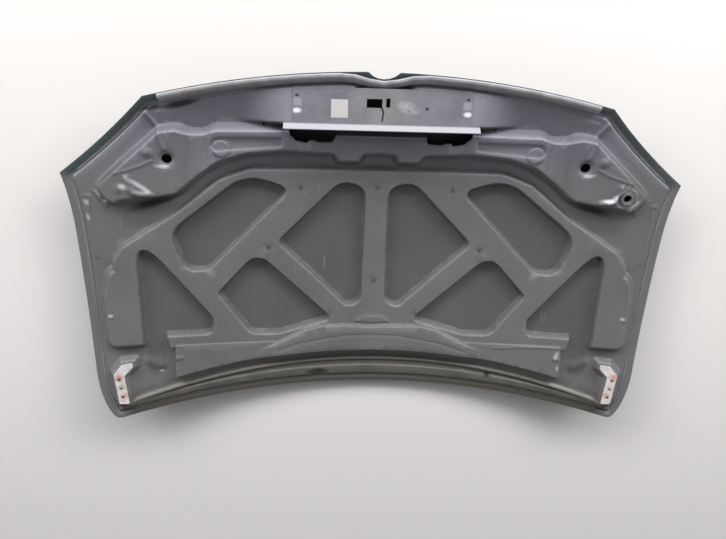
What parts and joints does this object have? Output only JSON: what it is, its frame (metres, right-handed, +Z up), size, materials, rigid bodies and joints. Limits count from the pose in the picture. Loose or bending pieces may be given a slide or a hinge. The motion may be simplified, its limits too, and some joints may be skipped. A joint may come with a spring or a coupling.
{
  "type": "car bonnet",
  "caption": "Steel car bonnet lying inner side up: an outer skin hemmed over a pressed inner frame with pockets, a latch reinforcement, hinge plates and a front seal.",
  "frame": {"origin": "on the ground under the middle of the outline, where the outer skin rests", "axes": "+X across the car, to the right in the picture, +Y towards the front edge with the notch, +Z up out of the inner side"},
  "size_m": [1.432, 0.878, 0.1117],
  "materials": {
    "skin_paint": "satin, dusty",
    "frame_paint": "satin, dusty",
    "plate_paint": "satin, dusty",
    "bare_plate": "matt, marked",
    "seal_rubber": "matt, dusty",
    "nut_steel": "dull",
    "mastic": "matt",
    "sealer": "matt",
    "label_paper": "matt, stained",
    "socket_plastic": "matt"
  },
  "bodies": {
    "root": {"outer_skin": "skin_paint", "inner_frame": "frame_paint", "latch_reinforcement": "plate_paint", "front_seal": "seal_rubber", "hinge_plate_right": "bare_plate", "hinge_plate_left": "bare_plate", "label_blank": "label_paper", "prop_rod_socket": "socket_plastic", "hinge_nut_right_1": "nut_steel", "hinge_nut_right_2": "nut_steel", "mastic_right_1": "mastic", "mastic_right_2": "mastic", "mastic_right_3": "mastic", "mastic_right_4": "mastic", "hinge_nut_left_1": "nut_steel", "hinge_nut_left_2": "nut_steel", "mastic_left_1": "mastic", "mastic_left_2": "mastic", "mastic_left_3": "mastic", "mastic_left_4": "mastic", "hem_sealer_headlight_right": "sealer", "hem_sealer_side_right": "sealer", "hem_sealer_rear": "sealer", "hem_sealer_side_left": "sealer", "hem_sealer_headlight_left": "sealer"}
  },
  "joints": []
}
